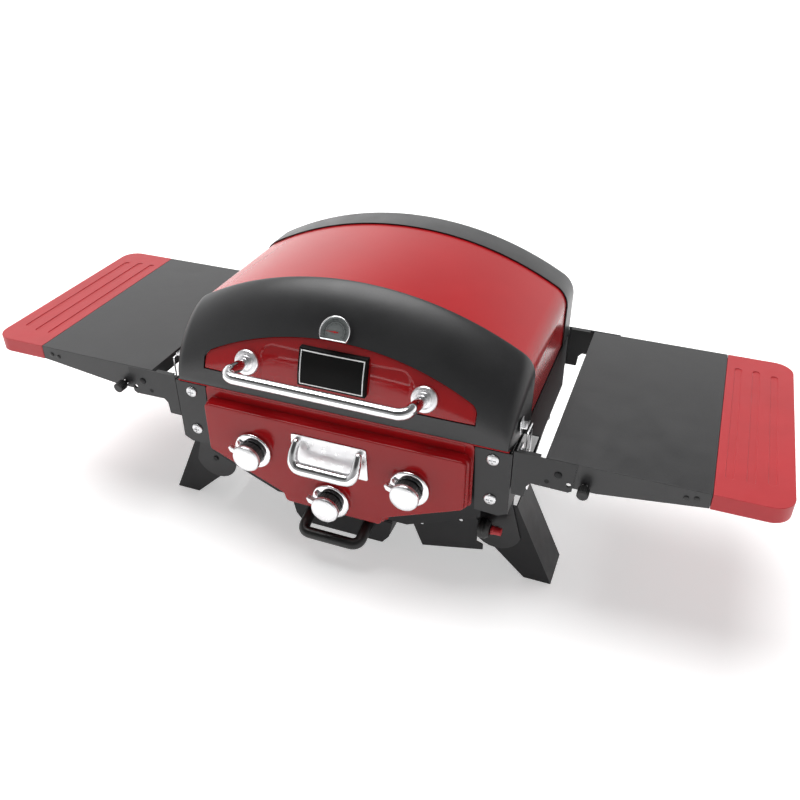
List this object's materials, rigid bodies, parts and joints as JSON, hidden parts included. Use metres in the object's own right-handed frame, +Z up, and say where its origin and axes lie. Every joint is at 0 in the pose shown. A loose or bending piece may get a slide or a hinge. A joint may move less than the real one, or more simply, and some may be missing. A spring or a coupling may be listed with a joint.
{
  "type": "tabletop gas grill",
  "caption": "Portable tabletop gas grill with a hinged domed lid, fold-up side shelves, fold-in legs, push-and-turn knobs, side latches and a drip tray",
  "frame": {"origin": "Centre of the whole object's footprint, on the surface it stands on.", "axes": "+X to the grill's right as the cook in front of it sees it, the front with the knobs faces -Y, +Z up."},
  "size_m": [1.186, 0.4284, 0.415],
  "materials": {
    "red_gloss": "gloss red paint",
    "red_plastic": "satin red plastic",
    "charcoal": "satin charcoal powder coat",
    "black_steel": "satin black powder coat",
    "black_plastic": "satin",
    "chrome": "polished",
    "steel": "brushed",
    "enamel": "black enamel",
    "needle": "satin red"
  },
  "bodies": {
    "grill": {"firebox": "enamel", "control_panel": "red_gloss", "panel_backplate": "black_steel", "left_end_frame": "black_steel", "right_end_frame": "black_steel", "left_shelf_bracket": "black_steel", "right_shelf_bracket": "black_steel", "carry_handle": "chrome", "knob_bezel_left": "chrome", "knob_bezel_middle": "chrome", "knob_bezel_right": "chrome", "gas_manifold": "steel", "burner_left": "steel", "burner_middle": "steel", "burner_right": "steel", "heat_plate": "steel", "cooking_grate": "enamel", "warming_rack": "steel", "regulator_bracket": "black_steel", "regulator": "black_plastic", "drip_tray_guide": "steel", "hinge_base": "black_steel", "left_latch_base": "chrome", "right_latch_base": "chrome"},
    "lid": {"lid_shell": "red_gloss", "lid_front_cap": "charcoal", "lid_back_cap": "charcoal", "lid_front_panel": "red_gloss", "name_plate": "black_plastic", "lid_handle": "chrome", "handle_rose_left": "chrome", "handle_rose_right": "chrome", "thermometer": "chrome", "hinge_leaf": "black_steel", "left_latch_keeper": "chrome", "right_latch_keeper": "chrome"},
    "pointer": {"gauge_pointer": "needle"},
    "drawer": {"drip_tray": "black_steel", "drip_tray_handle": "black_plastic"},
    "inlet_cap": {"regulator_cap": "red_plastic"},
    "stem_left": {"valve_stem_left": "steel"},
    "knob_left": {"burner_knob_left": "black_plastic"},
    "stem_middle": {"valve_stem_middle": "steel"},
    "knob_middle": {"burner_knob_middle": "black_plastic"},
    "stem_right": {"valve_stem_right": "steel"},
    "knob_right": {"burner_knob_right": "black_plastic"},
    "left_shelf_body": {"left_shelf": "charcoal", "left_tray_end": "red_plastic"},
    "left_lock": {"left_shelf_lock": "black_plastic"},
    "left_legs": {"left_leg_front": "black_steel", "left_leg_back": "black_steel"},
    "left_lever": {"left_latch_lever": "chrome"},
    "left_bail": {"left_latch_bail": "chrome"},
    "right_shelf_body": {"right_shelf": "charcoal", "right_tray_end": "red_plastic"},
    "right_lock": {"right_shelf_lock": "black_plastic"},
    "right_legs": {"right_leg_front": "black_steel", "right_leg_back": "black_steel"},
    "right_lever": {"right_latch_lever": "chrome"},
    "right_bail": {"right_latch_bail": "chrome"}
  },
  "joints": [
    {"name": "lid_hinge", "type": "hinge", "parent": "grill", "child": "lid", "pos_m": [0, 0.211, 0.252], "axis": [-1, 0, 0], "range_deg": [0, 95]},
    {"name": "pointer_turn", "type": "hinge", "parent": "lid", "child": "pointer", "pos_m": [0, -0.126, 0.3673], "axis": [0, 0.8141, -0.5807], "range_deg": [0, 180], "stiffness_Nm_per_rad": 0.0005},
    {"name": "drip_tray_slide", "type": "slide", "parent": "grill", "child": "drawer", "axis": [0, -1, 0], "range_m": [0, 0.18]},
    {"name": "inlet_cap_pull", "type": "slide", "parent": "grill", "child": "inlet_cap", "axis": [1, 0, 0], "range_m": [0, 0.03]},
    {"name": "knob_turn_left", "type": "hinge", "parent": "grill", "child": "stem_left", "pos_m": [-0.121, -0.169, 0.172], "axis": [0, -1, 0], "range_deg": [0, 180]},
    {"name": "knob_push_left", "type": "slide", "parent": "stem_left", "child": "knob_left", "axis": [0, 1, 0], "range_m": [0, 0.003], "stiffness_N_per_m": 300},
    {"name": "knob_turn_middle", "type": "hinge", "parent": "grill", "child": "stem_middle", "pos_m": [0, -0.169, 0.113], "axis": [0, -1, 0], "range_deg": [0, 180]},
    {"name": "knob_push_middle", "type": "slide", "parent": "stem_middle", "child": "knob_middle", "axis": [0, 1, 0], "range_m": [0, 0.003], "stiffness_N_per_m": 300},
    {"name": "knob_turn_right", "type": "hinge", "parent": "grill", "child": "stem_right", "pos_m": [0.121, -0.169, 0.172], "axis": [0, -1, 0], "range_deg": [0, 180]},
    {"name": "knob_push_right", "type": "slide", "parent": "stem_right", "child": "knob_right", "axis": [0, 1, 0], "range_m": [0, 0.003], "stiffness_N_per_m": 300},
    {"name": "left_shelf_fold", "type": "hinge", "parent": "grill", "child": "left_shelf_body", "pos_m": [-0.315, 0.031, 0.2345], "axis": [0, 1, 0], "range_deg": [0, 90]},
    {"name": "left_lock_pull", "type": "slide", "parent": "left_shelf_body", "child": "left_lock", "axis": [0, -1, 0], "range_m": [0, 0.006], "stiffness_N_per_m": 250},
    {"name": "left_legs_fold", "type": "hinge", "parent": "grill", "child": "left_legs", "pos_m": [-0.2335, 0.031, 0.083], "axis": [0, -1, 0], "range_deg": [0, 80]},
    {"name": "left_latch_lever_turn", "type": "hinge", "parent": "grill", "child": "left_lever", "pos_m": [-0.264, -0.116, 0.226], "axis": [0, 1, 0], "range_deg": [0, 45]},
    {"name": "left_latch_bail_turn", "type": "hinge", "parent": "left_lever", "child": "left_bail", "pos_m": [-0.2672, -0.116, 0.208], "axis": [0, 1, 0], "range_deg": [-45, 0]},
    {"name": "right_shelf_fold", "type": "hinge", "parent": "grill", "child": "right_shelf_body", "pos_m": [0.315, 0.031, 0.2345], "axis": [0, -1, 0], "range_deg": [0, 90]},
    {"name": "right_lock_pull", "type": "slide", "parent": "right_shelf_body", "child": "right_lock", "axis": [0, -1, 0], "range_m": [0, 0.006], "stiffness_N_per_m": 250},
    {"name": "right_legs_fold", "type": "hinge", "parent": "grill", "child": "right_legs", "pos_m": [0.2335, 0.031, 0.083], "axis": [0, 1, 0], "range_deg": [0, 80]},
    {"name": "right_latch_lever_turn", "type": "hinge", "parent": "grill", "child": "right_lever", "pos_m": [0.264, -0.116, 0.226], "axis": [0, -1, 0], "range_deg": [0, 45]},
    {"name": "right_latch_bail_turn", "type": "hinge", "parent": "right_lever", "child": "right_bail", "pos_m": [0.2672, -0.116, 0.208], "axis": [0, -1, 0], "range_deg": [-45, 0]}
  ],
  "couplings": [
    {"joint": "left_latch_bail_turn", "follows": "left_latch_lever_turn", "ratio": -1},
    {"joint": "right_latch_bail_turn", "follows": "right_latch_lever_turn", "ratio": -1}
  ]
}
